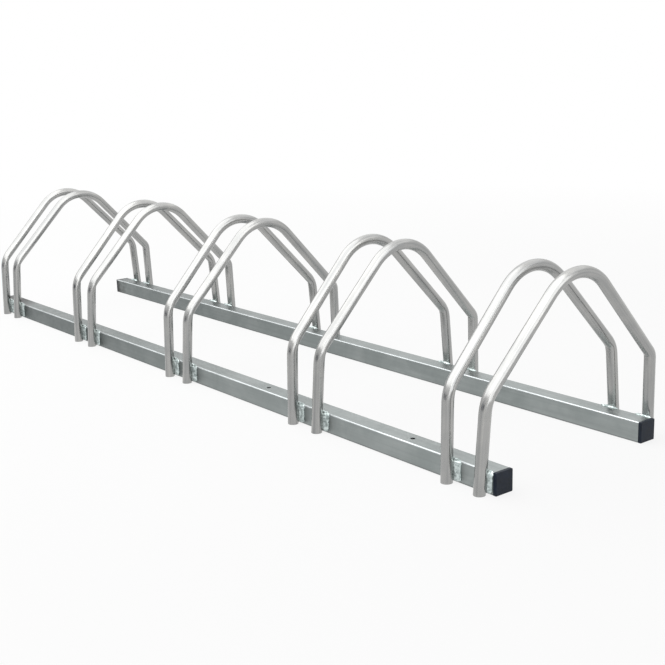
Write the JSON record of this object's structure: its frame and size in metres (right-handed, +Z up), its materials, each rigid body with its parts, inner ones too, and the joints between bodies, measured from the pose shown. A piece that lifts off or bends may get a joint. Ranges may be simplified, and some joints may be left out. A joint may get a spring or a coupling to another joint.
{
  "type": "floor bike rack",
  "caption": "Floor stand for parking bicycles: bent round-tube hoops welded in pairs across two square-tube rails, with plastic end caps and holes for floor bolts.",
  "frame": {"origin": "centre of the bounding box, on the floor plane", "axes": "+X along the rails, +Y from the front rail to the rear rail, +Z up"},
  "size_m": [1.518, 0.3506, 0.2629],
  "materials": {
    "galvanised_rail": "bright zinc plated square tube, lightly streaked",
    "galvanised_tube": "bright zinc plated round tube, smooth, with faint lengthwise streaks",
    "weld_metal": "zinc plated weld bead, shiny and rippled",
    "black_plastic": "moulded black plastic with a fine grain"
  },
  "bodies": {
    "root": {"front_rail": "galvanised_rail", "rear_rail": "galvanised_rail", "hoop_1_left": "galvanised_tube", "hoop_1_right": "galvanised_tube", "hoop_2_left": "galvanised_tube", "hoop_2_right": "galvanised_tube", "hoop_3_left": "galvanised_tube", "hoop_3_right": "galvanised_tube", "hoop_4_left": "galvanised_tube", "hoop_4_right": "galvanised_tube", "hoop_5_left": "galvanised_tube", "hoop_5_right": "galvanised_tube", "weld_1_left_front": "weld_metal", "weld_1_left_rear": "weld_metal", "weld_1_right_front": "weld_metal", "weld_1_right_rear": "weld_metal", "weld_2_left_front": "weld_metal", "weld_2_left_rear": "weld_metal", "weld_2_right_front": "weld_metal", "weld_2_right_rear": "weld_metal", "weld_3_left_front": "weld_metal", "weld_3_left_rear": "weld_metal", "weld_3_right_front": "weld_metal", "weld_3_right_rear": "weld_metal", "weld_4_left_front": "weld_metal", "weld_4_left_rear": "weld_metal", "weld_4_right_front": "weld_metal", "weld_4_right_rear": "weld_metal", "weld_5_left_front": "weld_metal", "weld_5_left_rear": "weld_metal", "weld_5_right_front": "weld_metal", "weld_5_right_rear": "weld_metal", "cap_front_left": "black_plastic", "cap_front_right": "black_plastic", "cap_rear_left": "black_plastic", "cap_rear_right": "black_plastic"}
  },
  "joints": []
}
